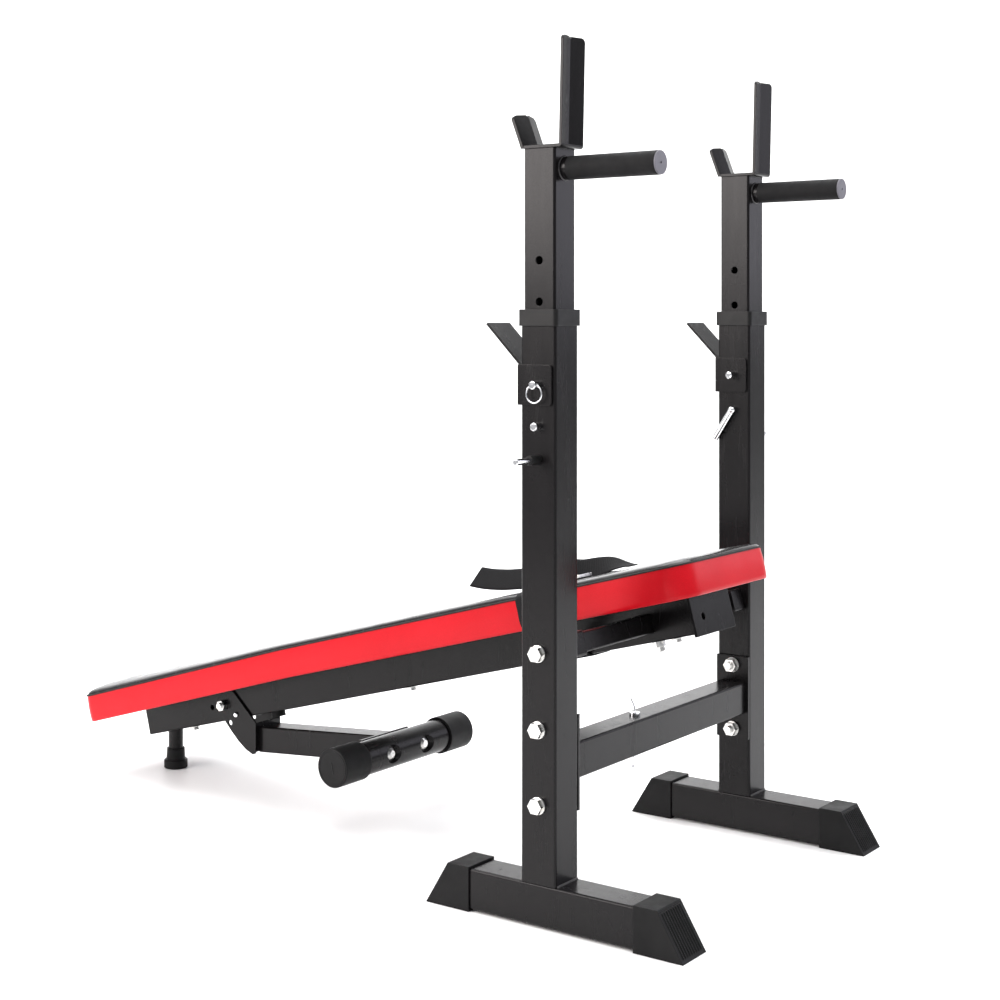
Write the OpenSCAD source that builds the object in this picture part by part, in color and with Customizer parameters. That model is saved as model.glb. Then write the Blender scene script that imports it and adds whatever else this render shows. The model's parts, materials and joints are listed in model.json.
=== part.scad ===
// Adjustable bench with a pair of telescoping rack uprights.
// X runs along the bench with +X at its raised end, Y runs across, Z is up.
// The overall box is centred on X and Y and stands on Z = 0.

/* [Uprights] */
// Distance between the two uprights, centre to centre
post_spacing = 502; // [440:1:600]
// Side of the square outer tube
post_size = 50; // [40:1:60]
// Wall of every square frame tube
tube_wall = 1.5; // [1.2:0.1:3]
// Corner radius of the frame tubes
tube_corner = 3; // [2:0.5:5]
// Height of the top end of the outer tube
post_top = 741; // [650:1:850]
// Side of the square telescoping tube
inner_size = 45; // [36:1:52]
// Height of the lower end of the telescoping tube
inner_bottom = 440; // [400:1:520]
// Height of the upper end of the telescoping tube
inner_top = 938; // [850:1:1000]
// Height of the row's reference hole, where the hitch pin sits
hole_height = 653; // [600:1:700]
// Distance between neighbouring height holes
hole_pitch = 50; // [40:1:60]
// Diameter of the hitch pin and the lock pin
pin_diameter = 10; // [8:0.5:12]
// Diameter of the holes that the pins pass through
pin_hole = 10.16; // [8.04:0.04:13]

/* [Feet] */
// Reach of the foot behind the upright, towards -X
foot_back = 168; // [140:1:220]
// Reach of the foot in front of the upright, towards +X
foot_front = 199; // [160:1:260]
// Length of a rubber end cap at its base
cap_length = 66; // [50:1:90]
// Length that the slanted end of a cap takes away at the top
cap_slant = 34; // [20:1:50]
// Thickness of the cap around the tube
cap_wall = 2.5; // [1.5:0.5:4]

/* [Crossbar] */
// Height of the crossbar's centre
bar_height = 193; // [170:1:230]
// Height of the crossbar tube
bar_tall = 45; // [35:1:60]
// Depth of the crossbar tube along X
bar_deep = 40; // [30:1:50]
// Height of an end plate
bar_plate_tall = 117; // [100:1:140]
// Thickness of an end plate
bar_plate_thick = 4; // [3:0.5:6]
// Distance between the two bolts of an end plate
bar_bolt_pitch = 91; // [80:1:110]
// Offset of the crossbar pin from the middle, towards the right upright
bar_pin_offset = 50; // [0:1:120]

/* [Hooks and catches] */
// Width of a hook across the upright
hook_width = 48; // [40:1:56]
// Thickness of the hook plate
hook_thick = 4; // [3:0.5:6]
// Height of the tall arm's top end
hook_top = 1072; // [1000:1:1120]
// Height of the short arm's top end
hook_short_top = 980; // [960:1:1000]
// Depth of the crease that stiffens both arms
hook_crease = 6; // [0:0.5:8]
// Height of the safety catch's arm at its free end
catch_top = 728; // [700:1:760]
// Side of the catch's ears
catch_side = 49; // [40:1:56]
// Thickness of the catch plate
catch_thick = 3; // [2:0.5:5]

/* [Dip handles] */
// Height of the handle's axis
handle_height = 914; // [880:1:925]
// Reach of the handle from the upright's centre
handle_reach = 155; // [120:1:200]
// Diameter of the handle tube
handle_tube_d = 22; // [18:1:28]
// Diameter of the soft grip
grip_d = 29; // [26:1:40]

/* [Bench] */
// Slope of the bench, lower at -X
bench_slope = 15.1; // [0:0.1:25]
// Height of the axis the bench tilts about
tilt_height = 330; // [300:1:360]
// Side of the square spine tube
spine_size = 50; // [40:1:60]
// Reach of the spine below the tilt axis, along the slope
spine_low = 972; // [800:1:1000]
// Reach of the spine above the tilt axis, along the slope
spine_high = 86; // [60:1:120]
// Reach of the pad below the tilt axis, along the slope
pad_low = 1012; // [850:1:1040]
// Reach of the pad above the tilt axis, along the slope
pad_high = 131; // [100:1:200]
// Width of the pad
pad_width = 240; // [200:1:300]
// Corner radius of the pad seen from above
pad_corner = 35; // [10:1:80]
// Thickness of the pad's board
board_thick = 12; // [9:1:18]
// Thickness of the pad's cushion
cushion_thick = 38; // [25:1:60]
// Side of the square cross tube
cross_size = 25; // [20:1:30]
// Distance of the short leg behind the tilt axis
short_leg_reach = 900; // [800:1:940]
// Position of the strap along the slope
strap_at = -110; // [-160:1:-80]
// Width of the strap
strap_width = 34; // [25:1:50]

/* [Folding leg] */
// Distance of the leg's pivot from the tilt axis, along the slope
leg_pivot = 791; // [700:1:850]
// Side of the leg's square tube
leg_size = 40; // [30:1:50]
// Rise of the folded leg towards its foot bar
leg_rise = 4.7; // [0:0.1:10]
// Diameter of the round foot bar
foot_bar_d = 48; // [40:1:60]
// Length of the foot bar with its caps
foot_bar_length = 300; // [240:1:400]
// Diameter of the foot bar's caps
foot_cap_d = 55; // [50:1:70]
// Radius of the index holes about the pivot
index_radius = 29.4; // [24:0.1:36]

/* [Hidden] */
$fn = 64;

black = [0.08, 0.08, 0.09];
rubber = [0.05, 0.05, 0.05];
steel = [0.75, 0.76, 0.78];
gray = [0.55, 0.54, 0.57];
red = [0.85, 0.1, 0.14];

half_post = post_size / 2;
half_inner = inner_size / 2;
half_spine = spine_size / 2;
half_cross = cross_size / 2;
half_pad = pad_width / 2;
pin_r = pin_diameter / 2;
slope_cos = cos(bench_slope);
slope_sin = sin(bench_slope);

foot_base = cap_wall;
foot_top = foot_base + post_size;
cap_top = foot_top + cap_wall;

board_top = half_spine + board_thick;
pad_top = board_top + cushion_thick;
cushion_step = 5;
pad_reach = pad_low * slope_cos + (pad_top - cushion_step) * slope_sin;
rack_x = (pad_reach - foot_front) / 2;

lock_height = hole_height - hole_pitch;
plunger_height = 563;

bolt_r = 5;
bolt_hole = 10.4;
bolt_head_af = 17;
bolt_head_tall = 7;
washer_r = 10.5;
washer_thick = 2;
nut_tall = 8;
bar_bolt_low = bar_height - bar_bolt_pitch / 2;
bar_bolt_high = bar_height + bar_bolt_pitch / 2;

collar_bottom = 724;
collar_top = 744;
collar_wall = 3;
slide_gap = 0.2;
slot_width = 11;
slot_top = collar_top - 3;

handle_bend = 28;
handle_wire = 1.5;

barrel_r = 6;
barrel_long = 19.5;
plunger_r = 4;
plunger_out = 74;
plunger_in = 12;

hitch_out = 39;
hitch_in = 43;
ring_at = 34;
ring_radius = 11;
ring_wire = 1;
ring_hole = 5.4;
lock_out = 36;
lock_in = 31;
lock_handle = 50;
lock_lean = 33;

hook_base_top = inner_top + hook_thick;
tall_arm_x = 29;
hook_notch = 2.5;
tall_arm_lean = 1.3;
short_arm_x = -22;
short_arm_lean = 21;
hook_round = 6;
grip_start = 31;
plug_thick = 2;

sleeve_wall = 3;
sleeve_long = 29;
sleeve_size = cross_size + 2 * sleeve_wall;
pivot_gap = 2;
cross_end = post_spacing / 2 - half_post - pivot_gap;
pivot_bore = 2 * bolt_r + 0.1;
plug_long = 26;
cross_bolt_r = 4;
pad_bolt_spots = [-893, -431, 28];
pad_bolt_r = 4;
plate_thick = 4;
end_plate_half = 52;
end_hole_at = -26;
end_hole_low = 3;
end_hole_d = 10;

short_leg_r = 12;
foot_rubber_r = 19;
foot_rubber_neck = 15;
foot_rubber_step = 14;
foot_rubber_tall = 32;
foot_rubber_floor = 6;

bracket_gap = 0.4;
bracket_thick = 3;
bracket_in = half_spine + bracket_gap;
bracket_out = bracket_in + bracket_thick;
web_x = 65.5;
leg_start_z = -46;
leg_flange_half = 55;
foot_axis_x = 331.7;
foot_axis_z = -27.4;
leg_long = (foot_axis_x - web_x - bracket_thick) * cos(leg_rise) - foot_bar_d / 2 - plate_thick;
foot_cap_long = 55;
foot_cap_end = 3;
foot_bolt_at = 39;
dimple_r = 11;
dimple_mouth = 16;
dimple_floor = 16;
dome_r = 8.5;

// Rounded rectangle centred on the origin
module rounded_rect(w, d, r) {
    square([w - 2 * r, d], center = true);
    square([w, d - 2 * r], center = true);
    for (x = [-1, 1], y = [-1, 1])
        translate([x * (w / 2 - r), y * (d / 2 - r)])
            circle(r = r);
}

// Square or rectangular tube standing on its end
module box_tube(w, d, h, wall = tube_wall, r = tube_corner) {
    linear_extrude(height = h)
        difference() {
            rounded_rect(w, d, r);
            rounded_rect(w - 2 * wall, d - 2 * wall, r - wall);
        }
}

// Cylinder along X, Y or Z centred on the origin
module rod_x(r, h) {
    rotate([0, 90, 0])
        cylinder(r = r, h = h, center = true);
}

module rod_y(r, h) {
    rotate([90, 0, 0])
        cylinder(r = r, h = h, center = true);
}

// Cylinder along Y between two positions
module rod_between(r, y0, y1) {
    translate([0, (y0 + y1) / 2, 0])
        rod_y(r, y1 - y0);
}

// Hexagonal head or nut along Y between two positions
module hex_between(af, y0, y1) {
    translate([0, y1, 0])
        rotate([90, 0, 0])
            cylinder(r = af / sqrt(3), h = y1 - y0, $fn = 6);
}

// Places an upright's parts: local +Y points outwards, side is -1 for right and 1 for left
module at_post(side) {
    translate([rack_x, side * post_spacing / 2, 0])
        if (side < 0)
            mirror([0, 1, 0]) children();
        else
            children();
}

// Places the bench's parts: origin on the tilt axis, +X up the slope
module on_bench() {
    translate([rack_x, 0, tilt_height])
        rotate([0, -bench_slope, 0])
            children();
}

// Places the folding leg's parts: origin on the leg's pivot, level at rest
module on_leg() {
    on_bench()
        translate([-leg_pivot, 0, 0])
            rotate([0, bench_slope, 0])
                children();
}

// Places along the folded leg's own direction, starting at the bracket's web
module along_leg() {
    translate([web_x + bracket_thick, 0, leg_start_z])
        rotate([0, -leg_rise, 0])
            children();
}

module foot_tube(side) {
    color(black)
        at_post(side)
            translate([cap_length - cap_slant - foot_back, 0, foot_base + half_post])
                rotate([0, 90, 0])
                    box_tube(post_size, post_size, foot_back + foot_front - 2 * (cap_length - cap_slant));
}

// Wedge cap pointing towards +X, its base ending at the local origin
module foot_cap() {
    width = post_size + 2 * cap_wall;
    difference() {
        rotate([90, 0, 0])
            translate([0, 0, -width / 2])
                linear_extrude(height = width)
                    polygon([[-cap_length, 0], [0, 0], [-cap_slant, cap_top], [-cap_length, cap_top]]);
        translate([-cap_length - 1, -half_post, foot_base])
            cube([cap_slant + 1, post_size, post_size]);
    }
}

module foot_caps(side) {
    color(rubber)
        at_post(side) {
            translate([foot_front, 0, 0])
                foot_cap();
            translate([-foot_back, 0, 0])
                mirror([1, 0, 0])
                    foot_cap();
        }
}

module post(side) {
    holes = [bar_bolt_low, bar_bolt_high, tilt_height];
    color(black)
        at_post(side)
            difference() {
                translate([0, 0, foot_top])
                    box_tube(post_size, post_size, post_top - foot_top);
                for (z = holes)
                    translate([0, 0, z])
                        rod_y(bolt_hole / 2, post_size + 2);
                for (z = [hole_height, lock_height])
                    translate([0, 0, z])
                        rod_y(pin_hole / 2, post_size + 2);
                translate([0, half_post, plunger_height])
                    rod_y(plunger_r + 0.1, 6);
            }
}

// Weld beads where each upright stands on its foot
module weld_beads() {
    bead = 2;
    color(black)
        for (side = [-1, 1])
            at_post(side)
                for (x = [-1, 1])
                    translate([x * half_post, 0, foot_top])
                        intersection() {
                            rod_y(bead, post_size - 2 * tube_corner);
                            translate([x * bead, 0, bead])
                                cube([2 * bead, post_size, 2 * bead], center = true);
                        }
}

module collar(side) {
    outer = post_size + 2 * collar_wall;
    color(rubber)
        at_post(side)
            difference() {
                translate([0, 0, collar_bottom])
                    linear_extrude(height = collar_top - collar_bottom)
                        rounded_rect(outer, outer, 5);
                translate([0, 0, collar_bottom - 1])
                    linear_extrude(height = post_top - collar_bottom + 1)
                        rounded_rect(post_size, post_size, tube_corner);
                translate([0, 0, collar_bottom])
                    linear_extrude(height = 2 * (collar_top - collar_bottom))
                        rounded_rect(inner_size + 2 * slide_gap, inner_size + 2 * slide_gap, tube_corner);
            }
}

module crossbar() {
    length = post_spacing - post_size - 2 * bar_plate_thick;
    color(black)
        translate([rack_x, 0, bar_height])
            difference() {
                rotate([90, 0, 0])
                    translate([0, 0, -length / 2])
                        box_tube(bar_deep, bar_tall, length);
                translate([0, -bar_pin_offset, 0])
                    cylinder(r = pin_hole / 2, h = bar_tall + 2, center = true);
            }
}

module crossbar_plates() {
    color(black)
        for (side = [-1, 1])
            at_post(side)
                difference() {
                    translate([-half_post, -half_post - bar_plate_thick, bar_height - bar_plate_tall / 2])
                        cube([post_size, bar_plate_thick, bar_plate_tall]);
                    for (z = [bar_bolt_low, bar_bolt_high])
                        translate([0, -half_post, z])
                            rod_y(bolt_hole / 2, 4 * bar_plate_thick);
                }
}

module rack_bolts() {
    head = half_post + washer_thick;
    color(steel)
        for (side = [-1, 1], z = [bar_bolt_low, bar_bolt_high])
            at_post(side)
                translate([0, 0, z]) {
                    hex_between(bolt_head_af, head, head + bolt_head_tall);
                    rod_between(bolt_r, -half_post - 19, head + 1);
                }
}

module washers() {
    inner_face = -half_post - bar_plate_thick;
    color(steel)
        for (side = [-1, 1])
            at_post(side) {
                for (z = [bar_bolt_low, bar_bolt_high, tilt_height])
                    translate([0, 0, z])
                        difference() {
                            rod_between(washer_r, half_post, half_post + washer_thick);
                            rod_y(bolt_hole / 2, 4 * half_post);
                        }
                for (z = [bar_bolt_low, bar_bolt_high])
                    translate([0, 0, z])
                        difference() {
                            rod_between(washer_r, inner_face - washer_thick, inner_face);
                            rod_y(bolt_hole / 2, 4 * half_post);
                        }
            }
}

module rack_nuts() {
    face = -half_post - bar_plate_thick - washer_thick;
    color(steel)
        for (side = [-1, 1], z = [bar_bolt_low, bar_bolt_high])
            at_post(side)
                translate([0, 0, z])
                    difference() {
                        hex_between(bolt_head_af, face - nut_tall, face);
                        rod_y(bolt_r, 6 * half_post);
                    }
}

module pivot_bolts() {
    head = half_post + washer_thick;
    color(steel)
        for (side = [-1, 1])
            at_post(side)
                translate([0, 0, tilt_height]) {
                    hex_between(bolt_head_af, head, head + bolt_head_tall);
                    rod_between(bolt_r, -half_post - pivot_gap - plug_long + 2, head + 1);
                }
}

module plunger_barrels() {
    color(rubber)
        for (side = [-1, 1])
            at_post(side)
                translate([0, 0, plunger_height])
                    difference() {
                        rod_between(barrel_r, half_post, half_post + barrel_long);
                        rod_y(plunger_r + 0.08, 4 * half_post);
                    }
}

module plunger_pin(side) {
    color(steel)
        at_post(side)
            translate([0, 0, plunger_height]) {
                rod_between(plunger_r, plunger_in, plunger_out - 1);
                translate([0, plunger_out, 0])
                    rotate([90, 0, 0])
                        cylinder(r1 = plunger_r - 1, r2 = plunger_r, h = 1);
            }
}

// Bent plate: two ears around the upright, a web behind it and a slanted arm
module catch(side) {
    back = -half_post - catch_thick;
    low = hole_height - catch_side / 2;
    high = hole_height + catch_side / 2;
    arm = (catch_top - high) * sqrt(2);
    front = back + catch_side;
    color(black)
        at_post(side)
            difference() {
                union() {
                    translate([back, -half_post - catch_thick, low])
                        cube([catch_thick, post_size + 2 * catch_thick, catch_side]);
                    for (y = [-half_post - catch_thick, half_post])
                        translate([back, y + catch_thick, low])
                            rotate([90, 0, 0])
                                linear_extrude(height = catch_thick) {
                                    square([catch_side - 5, catch_side]);
                                    translate([0, 5])
                                        square([catch_side, catch_side - 10]);
                                    for (z = [5, catch_side - 5])
                                        translate([catch_side - 5, z])
                                            circle(r = 5);
                                }
                    translate([back + catch_thick, -hook_width / 2, high])
                        rotate([0, -45, 0])
                            translate([-catch_thick, 0, -catch_thick])
                                cube([catch_thick, hook_width, arm + catch_thick]);
                }
                translate([0, 0, hole_height])
                    rod_y(pin_hole / 2, 2 * post_size);
                translate([back + catch_thick, -half_post, low - 1])
                    cube([post_size, post_size, catch_side + 2 * catch_top]);
            }
}

// Telescoping tube with its row of height holes; the slot below them clears the pins over its travel
module inner_post(side) {
    color(black)
        at_post(side)
            difference() {
                translate([0, 0, inner_bottom])
                    box_tube(inner_size, inner_size, inner_top - inner_bottom);
                for (n = [2:3])
                    translate([0, 0, hole_height + n * hole_pitch])
                        rod_y(pin_hole / 2, inner_size + 2);
                translate([-slot_width / 2, -inner_size, inner_bottom - 1])
                    cube([slot_width, 2 * inner_size, slot_top - inner_bottom + 1]);
            }
}

// Arm of a hook: a creased plate with rounded top corners, crease towards -X
module hook_arm(tall, crease) {
    difference() {
        hook_blade(tall, crease);
        translate([0, 0, tall])
            rod_x(hook_notch, 40);
    }
}

module hook_blade(tall, crease) {
    half = hook_width / 2;
    intersection() {
        linear_extrude(height = tall)
            polygon([[0, -half], [-crease, 0], [0, half], [hook_thick, half], [hook_thick - crease, 0],
                [hook_thick, -half]]);
        translate([-20, 0, 0])
            rotate([0, 90, 0])
                rotate([0, 0, 90])
                    linear_extrude(height = 40) {
                        translate([-half, 0])
                            square([2 * half, tall - hook_round]);
                        translate([hook_round - half, 0])
                            square([2 * (half - hook_round), tall]);
                        for (y = [-1, 1])
                            translate([y * (half - hook_round), tall - hook_round])
                                circle(r = hook_round);
                    }
    }
}

module hook(side) {
    reach = tall_arm_x + hook_thick;
    color(black)
        at_post(side) {
            translate([short_arm_x, -hook_width / 2, inner_top])
                cube([reach - short_arm_x - hook_thick, hook_width, hook_thick]);
            translate([reach - hook_thick, 0, inner_top + hook_thick])
                intersection() {
                    difference() {
                        rod_y(hook_thick, hook_width);
                        rod_y(0.5, hook_width + 1);
                    }
                    translate([0, -hook_width, -2 * hook_thick])
                        cube([2 * hook_thick, 2 * hook_width, 2 * hook_thick]);
                }
            translate([tall_arm_x, 0, hook_base_top - 0.5])
                rotate([0, tall_arm_lean, 0])
                    hook_arm((hook_top - hook_base_top + 0.5) / cos(tall_arm_lean), hook_crease);
            translate([short_arm_x, 0, inner_top + 1.5])
                rotate([0, -short_arm_lean, 0])
                    mirror([1, 0, 0])
                        hook_arm((hook_short_top - inner_top - 1.5) / cos(short_arm_lean), hook_crease);
        }
}

module handle_tube(side) {
    color(black)
        at_post(side)
            translate([half_inner, 0, handle_height])
                rotate([0, 90, 0])
                    difference() {
                        union() {
                            cylinder(d = handle_tube_d, h = handle_reach - plug_thick - half_inner);
                            cylinder(d = grip_d - 1, h = grip_start - half_inner);
                        }
                        translate([0, 0, -1])
                            cylinder(d = handle_tube_d - 4, h = handle_reach);
                    }
}

module grip(side) {
    length = handle_reach - plug_thick - grip_start;
    color(rubber)
        at_post(side)
            translate([grip_start, 0, handle_height])
                rotate([0, 90, 0])
                    difference() {
                        cylinder(d = grip_d, h = length);
                        translate([0, 0, -1])
                            cylinder(d = handle_tube_d, h = length + 2);
                    }
}

module grip_plug(side) {
    color(gray)
        at_post(side)
            translate([handle_reach, 0, handle_height])
                rotate([0, -90, 0])
                    difference() {
                        union() {
                            cylinder(d = grip_d - 0.6, h = plug_thick);
                            cylinder(d = handle_tube_d - 4, h = 14);
                        }
                        translate([0, 0, -1])
                            cylinder(d = 3, h = 8);
                    }
}

module hitch_pin(side) {
    color(steel)
        at_post(side)
            translate([0, 0, hole_height])
                difference() {
                    union() {
                        rod_between(pin_r, -hitch_in + 2, hitch_out - 1);
                        translate([0, -hitch_in + 2, 0])
                            rotate([90, 0, 0])
                                cylinder(r1 = pin_r, r2 = pin_r - 1.5, h = 2);
                        translate([0, hitch_out, 0])
                            rotate([90, 0, 0])
                                cylinder(r1 = pin_r - 1, r2 = pin_r, h = 1);
                    }
                    translate([0, ring_at, 0])
                        rod_x(ring_hole / 2, 4 * pin_r);
                }
}

module ring(side) {
    color(steel)
        at_post(side)
            translate([0, ring_at, hole_height - ring_radius + 0.7])
                rotate([90, 0, 0])
                    rotate_extrude()
                        translate([ring_radius, 0])
                            circle(r = ring_wire, $fn = 24);
}

module lock_pin(side) {
    color(steel)
        at_post(side)
            translate([0, 0, lock_height]) {
                rod_between(pin_r, -lock_in, lock_out - 1);
                translate([0, lock_out, 0])
                    rotate([90, 0, 0])
                        cylinder(r1 = pin_r - 1, r2 = pin_r, h = 1);
                translate([0, -lock_in, 0])
                    sphere(r = pin_r + 0.4);
                translate([0, -lock_in, 0])
                    rotate([0, 180 + lock_lean, 0])
                        cylinder(r = pin_r - 0.3, h = lock_handle);
            }
}

// Vertical pin with a shoulder and a curved wire handle
module crossbar_pin() {
    top = bar_tall / 2;
    color(steel)
        translate([rack_x, -bar_pin_offset, bar_height]) {
            difference() {
                translate([0, 0, -top - 27])
                    cylinder(r = pin_r - 0.5, h = bar_tall + 27);
                translate([0, 0, -top - 21])
                    rod_y(1.5, 4 * pin_r);
            }
            translate([0, 0, top])
                cylinder(r = pin_r + 2, h = 4);
            translate([-handle_bend, 0, top + 3])
                rotate([90, 0, 0])
                    rotate_extrude(angle = 40)
                        translate([handle_bend, 0])
                            circle(r = handle_wire);
        }
}

module spine() {
    length = spine_low + spine_high;
    color(black)
        on_bench()
            difference() {
                translate([-spine_low, 0, 0])
                    rotate([0, 90, 0])
                        box_tube(spine_size, spine_size, length);
                cube([cross_size + 0.2, spine_size + 2, cross_size + 0.2], center = true);
                for (x = pad_bolt_spots)
                    translate([x, 0, 0])
                        cylinder(r = pad_bolt_r + 0.25, h = spine_size + 2, center = true);
                translate([0, 0, -half_spine])
                    cylinder(r = cross_bolt_r + 0.25, h = 8, center = true);
                translate([-leg_pivot, 0, 0])
                    rod_y(bolt_r + 0.2, spine_size + 2);
                translate([-leg_pivot - index_radius, 0, 0])
                    rod_y(4.2, spine_size + 2);
            }
}

module spine_plug() {
    color(rubber)
        on_bench()
            translate([-spine_low, 0, 0])
                rotate([0, 90, 0]) {
                    translate([0, 0, -2])
                        linear_extrude(height = 2)
                            rounded_rect(spine_size, spine_size, tube_corner);
                    linear_extrude(height = 12)
                        rounded_rect(spine_size - 2 * tube_wall, spine_size - 2 * tube_wall, 1.5);
                }
}

module end_plate() {
    low = -half_spine - 2;
    color(black)
        on_bench()
            difference() {
                translate([spine_high, -end_plate_half, low])
                    cube([plate_thick, 2 * end_plate_half, half_spine - low - 1]);
                translate([spine_high, end_hole_at, -end_hole_low])
                    rod_x(end_hole_d / 2, 4 * plate_thick);
            }
}

module cross_tube() {
    color(black)
        on_bench()
            difference() {
                rotate([90, 0, 0])
                    translate([0, 0, -cross_end])
                        box_tube(cross_size, cross_size, 2 * cross_end, tube_wall, 2);
                cylinder(r = cross_bolt_r + 0.2, h = cross_size + 2, center = true);
            }
}

module cross_sleeves() {
    color(black)
        on_bench()
            for (y = [-cross_end, cross_end - sleeve_long])
                translate([0, y + sleeve_long, 0])
                    rotate([90, 0, 0])
                        linear_extrude(height = sleeve_long)
                            difference() {
                                rounded_rect(sleeve_size, sleeve_size, 3);
                                rounded_rect(cross_size, cross_size, 2);
                            }
}

// Solid ends of the cross tube, bored for the pivot bolts
module cross_plugs() {
    inside = cross_size - 2 * tube_wall;
    color(steel)
        on_bench()
            difference() {
                for (y = [-cross_end, cross_end - plug_long])
                    translate([0, y + plug_long, 0])
                        rotate([90, 0, 0])
                            linear_extrude(height = plug_long)
                                rounded_rect(inside, inside, 0.5);
                rod_y(pivot_bore / 2, 3 * cross_end);
            }
}

// Vertical bolt that holds the cross tube in the spine, with its black spacer below
module cross_bolt() {
    low = -half_spine;
    color(steel)
        on_bench() {
            translate([0, 0, low - 8])
                cylinder(r = 9, h = 8);
            translate([0, 0, low - 14])
                cylinder(r = 13 / sqrt(3), h = 6, $fn = 6);
            translate([0, 0, low - 15])
                cylinder(r = cross_bolt_r, h = half_spine + 15 + half_cross + 4);
        }
}

module short_leg() {
    color(black)
        difference() {
            translate([rack_x - short_leg_reach, 0, foot_rubber_floor])
                difference() {
                    cylinder(r = short_leg_r, h = 100);
                    translate([0, 0, -1])
                        cylinder(r = short_leg_r - 2, h = 102);
                }
            on_bench()
                translate([-spine_low - 100, -spine_size, -half_spine])
                    cube([300, 2 * spine_size, 3 * spine_size]);
        }
}

module rubber_foot() {
    color(rubber)
        translate([rack_x - short_leg_reach, 0, 0])
            rotate_extrude()
                polygon([[0, 0], [foot_rubber_r - 1, 0], [foot_rubber_r, 1], [foot_rubber_r, foot_rubber_step - 2],
                    [foot_rubber_r - 2, foot_rubber_step], [foot_rubber_neck, foot_rubber_step],
                    [foot_rubber_neck - 0.5, foot_rubber_tall], [short_leg_r, foot_rubber_tall],
                    [short_leg_r, foot_rubber_floor], [0, foot_rubber_floor]]);
}

// Plan outline of the pad, drawn smaller by the inset
module pad_plan(inset) {
    translate([(pad_high - pad_low) / 2, 0])
        rounded_rect(pad_high + pad_low - 2 * inset, pad_width - 2 * inset, pad_corner - inset);
}

module pad_board() {
    color(rubber)
        on_bench()
            difference() {
                translate([0, 0, half_spine])
                    linear_extrude(height = board_thick)
                        pad_plan(3);
                for (x = pad_bolt_spots)
                    translate([x, 0, half_spine - 1])
                        cylinder(r = pad_bolt_r + 0.25, h = board_thick);
            }
}

module pad_cushion() {
    color(red)
        on_bench() {
            translate([0, 0, board_top])
                linear_extrude(height = cushion_thick - cushion_step)
                    pad_plan(0);
            translate([0, 0, pad_top - cushion_step])
                linear_extrude(height = cushion_step)
                    pad_plan(8);
        }
}

module pad_bolts() {
    color(steel)
        on_bench()
            for (x = pad_bolt_spots)
                translate([x, 0, -half_spine]) {
                    translate([0, 0, -1.5])
                        cylinder(r = 8.5, h = 1.5);
                    translate([0, 0, -6.5])
                        cylinder(r = 13 / sqrt(3), h = 5.5, $fn = 6);
                    translate([0, 0, -2])
                        cylinder(r = pad_bolt_r, h = spine_size + board_thick);
                }
}

// Cross-section of the strap's loop, at a distance from the pad and the spine
module strap_loop(gap) {
    side = half_pad + gap;
    keel = half_spine + gap;
    polygon([[-side, half_spine - gap], [-keel, -keel], [keel, -keel], [side, half_spine - gap],
        [side, pad_top + gap], [-side, pad_top + gap]]);
}

module strap() {
    color(rubber)
        on_bench()
            translate([strap_at + strap_width / 2, 0, 0])
                rotate([90, 0, -90])
                    linear_extrude(height = strap_width)
                        difference() {
                            strap_loop(2.5);
                            strap_loop(0.5);
                        }
}

module strap_buckle() {
    color(gray)
        on_bench()
            translate([strap_at + 32, -52, pad_top + 2.5])
                difference() {
                    translate([0, 0, 2])
                        cube([strap_width + 10, 32, 4], center = true);
                    for (y = [-8, 8])
                        translate([0, y, 2])
                            cube([strap_width + 2, 7, 6], center = true);
                }
}

// Rubber stop under the spine that the folded leg's tube lies against
module leg_bumper() {
    color(rubber)
        on_bench()
            translate([-705, 0, -half_spine - 9])
                cylinder(r = 11, h = 9);
}

module leg_bolt() {
    color(steel)
        on_bench()
            translate([-leg_pivot, 0, 0]) {
                rod_between(bolt_r, -bracket_out - 12, bracket_out + 1);
                hex_between(15, bracket_out + 0.4, bracket_out + 6.5);
                hex_between(15, -bracket_out - 8.5, -bracket_out - 0.4);
            }
}

// Outline of the bracket's cheeks about the pivot
module bracket_cheek() {
    difference() {
        union() {
            circle(r = 15);
            polygon([[-14.5, 3.5], [-9, 13], [0, 21], [12, 28], [20, 23.6], [66, -16.5], [68.5, -20],
                [68.5, -64], [66, -67.5], [62, -68.5], [48, -63], [33, -53], [18, -40], [4, -26], [-8, -12.5]]);
        }
        circle(r = bolt_r + 0.08);
        for (a = [-22.5, -61.7])
            rotate(a)
                translate([index_radius, 0])
                    circle(r = 4.2);
    }
}

module leg_bracket() {
    color(black)
        on_leg() {
            for (y = [-bracket_in, bracket_out])
                translate([0, y, 0])
                    rotate([90, 0, 0])
                        linear_extrude(height = bracket_thick)
                            bracket_cheek();
            translate([web_x, -bracket_in - 0.5, -64])
                cube([bracket_thick, 2 * bracket_in + 1, 44]);
        }
}

module leg_tube() {
    color(black)
        on_leg()
            difference() {
                along_leg() {
                    rotate([0, 90, 0])
                        translate([0, 0, -4])
                            box_tube(leg_size, leg_size, leg_long + 4);
                    translate([leg_long, -leg_flange_half, -leg_size / 2])
                        cube([plate_thick, 2 * leg_flange_half, leg_size]);
                }
                translate([web_x - 40, -50, -100])
                    cube([40 + bracket_thick, 100, 100]);
                along_leg()
                    for (y = [-foot_bolt_at, foot_bolt_at])
                        translate([leg_long, y, 0])
                            rod_x(4.25, 4 * plate_thick);
            }
}

// Short chromed pins that lock the bracket's cheeks
module index_pins() {
    color(steel)
        on_leg()
            for (side = [-1, 1])
                rotate([0, 22.5, 0])
                    translate([index_radius, side * bracket_in, 0])
                        rotate([side * -90, 0, 0]) {
                            cylinder(r = 4.1, h = bracket_thick + 2);
                            translate([0, 0, bracket_thick + 2])
                                cylinder(r1 = 4.1, r2 = 2.8, h = 1.2);
                        }
}

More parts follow.
